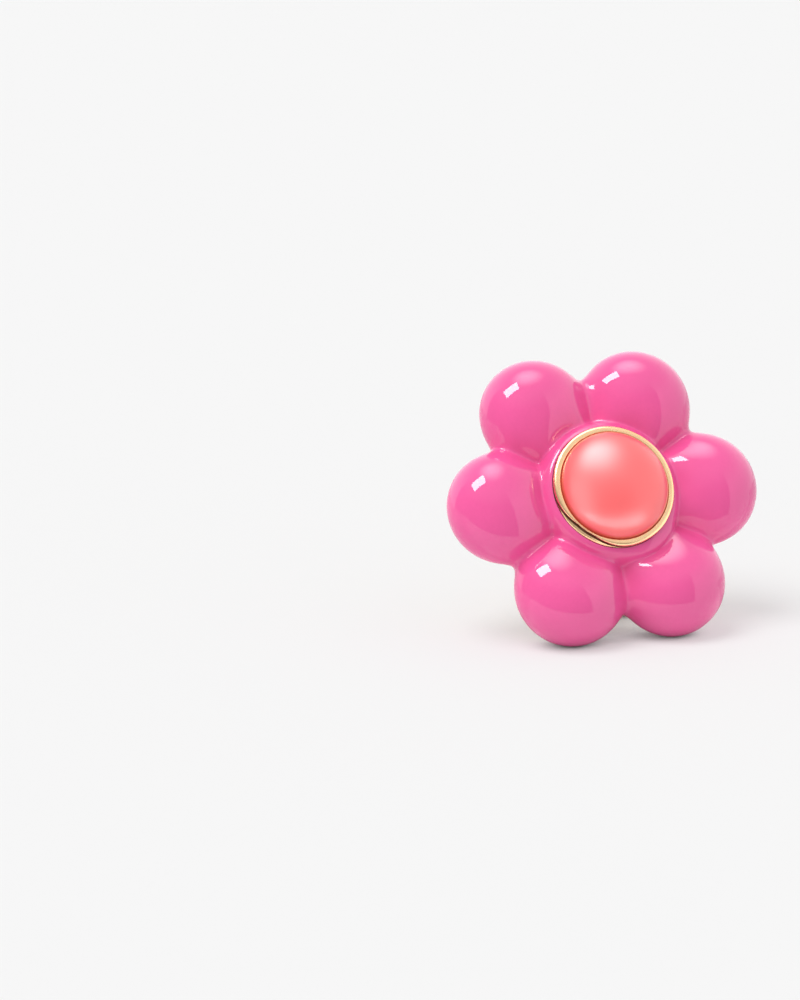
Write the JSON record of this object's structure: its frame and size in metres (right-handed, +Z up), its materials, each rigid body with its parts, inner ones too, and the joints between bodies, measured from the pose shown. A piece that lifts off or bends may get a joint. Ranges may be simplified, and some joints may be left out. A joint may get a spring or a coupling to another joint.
{
  "type": "statement stud earring",
  "caption": "Flower stud earring: hollow ball petals in glossy enamel round a domed stone in a gold bezel, with a pierced gold back, an ear post and a hinged omega clip.",
  "frame": {"origin": "middle of the object's box, on the surface it stands on", "axes": "+Z up; +X along the clip's hinge and across the flower; the flower's face looks to -Y and up"},
  "size_m": [0.032, 0.0238, 0.0258],
  "materials": {
    "pink_enamel": "glossy enamel over metal",
    "gold": "polished gold plating",
    "coral": "satin",
    "steel": "bare, fine brushed",
    "silver": "bare, polished"
  },
  "bodies": {
    "flower": {"petal_shell": "pink_enamel", "bezel_cup": "gold", "coral_stone": "coral", "back_frame": "gold", "oval_disc": "silver", "ear_post": "steel"},
    "clip": {"omega_clip": "gold", "hinge_pin": "gold"}
  },
  "joints": [
    {"name": "clip_hinge", "type": "hinge", "parent": "flower", "child": "clip", "pos_m": [0, 0.0005, 0.00173], "axis": [-1, 0, 0], "range_deg": [0, 100]}
  ]
}
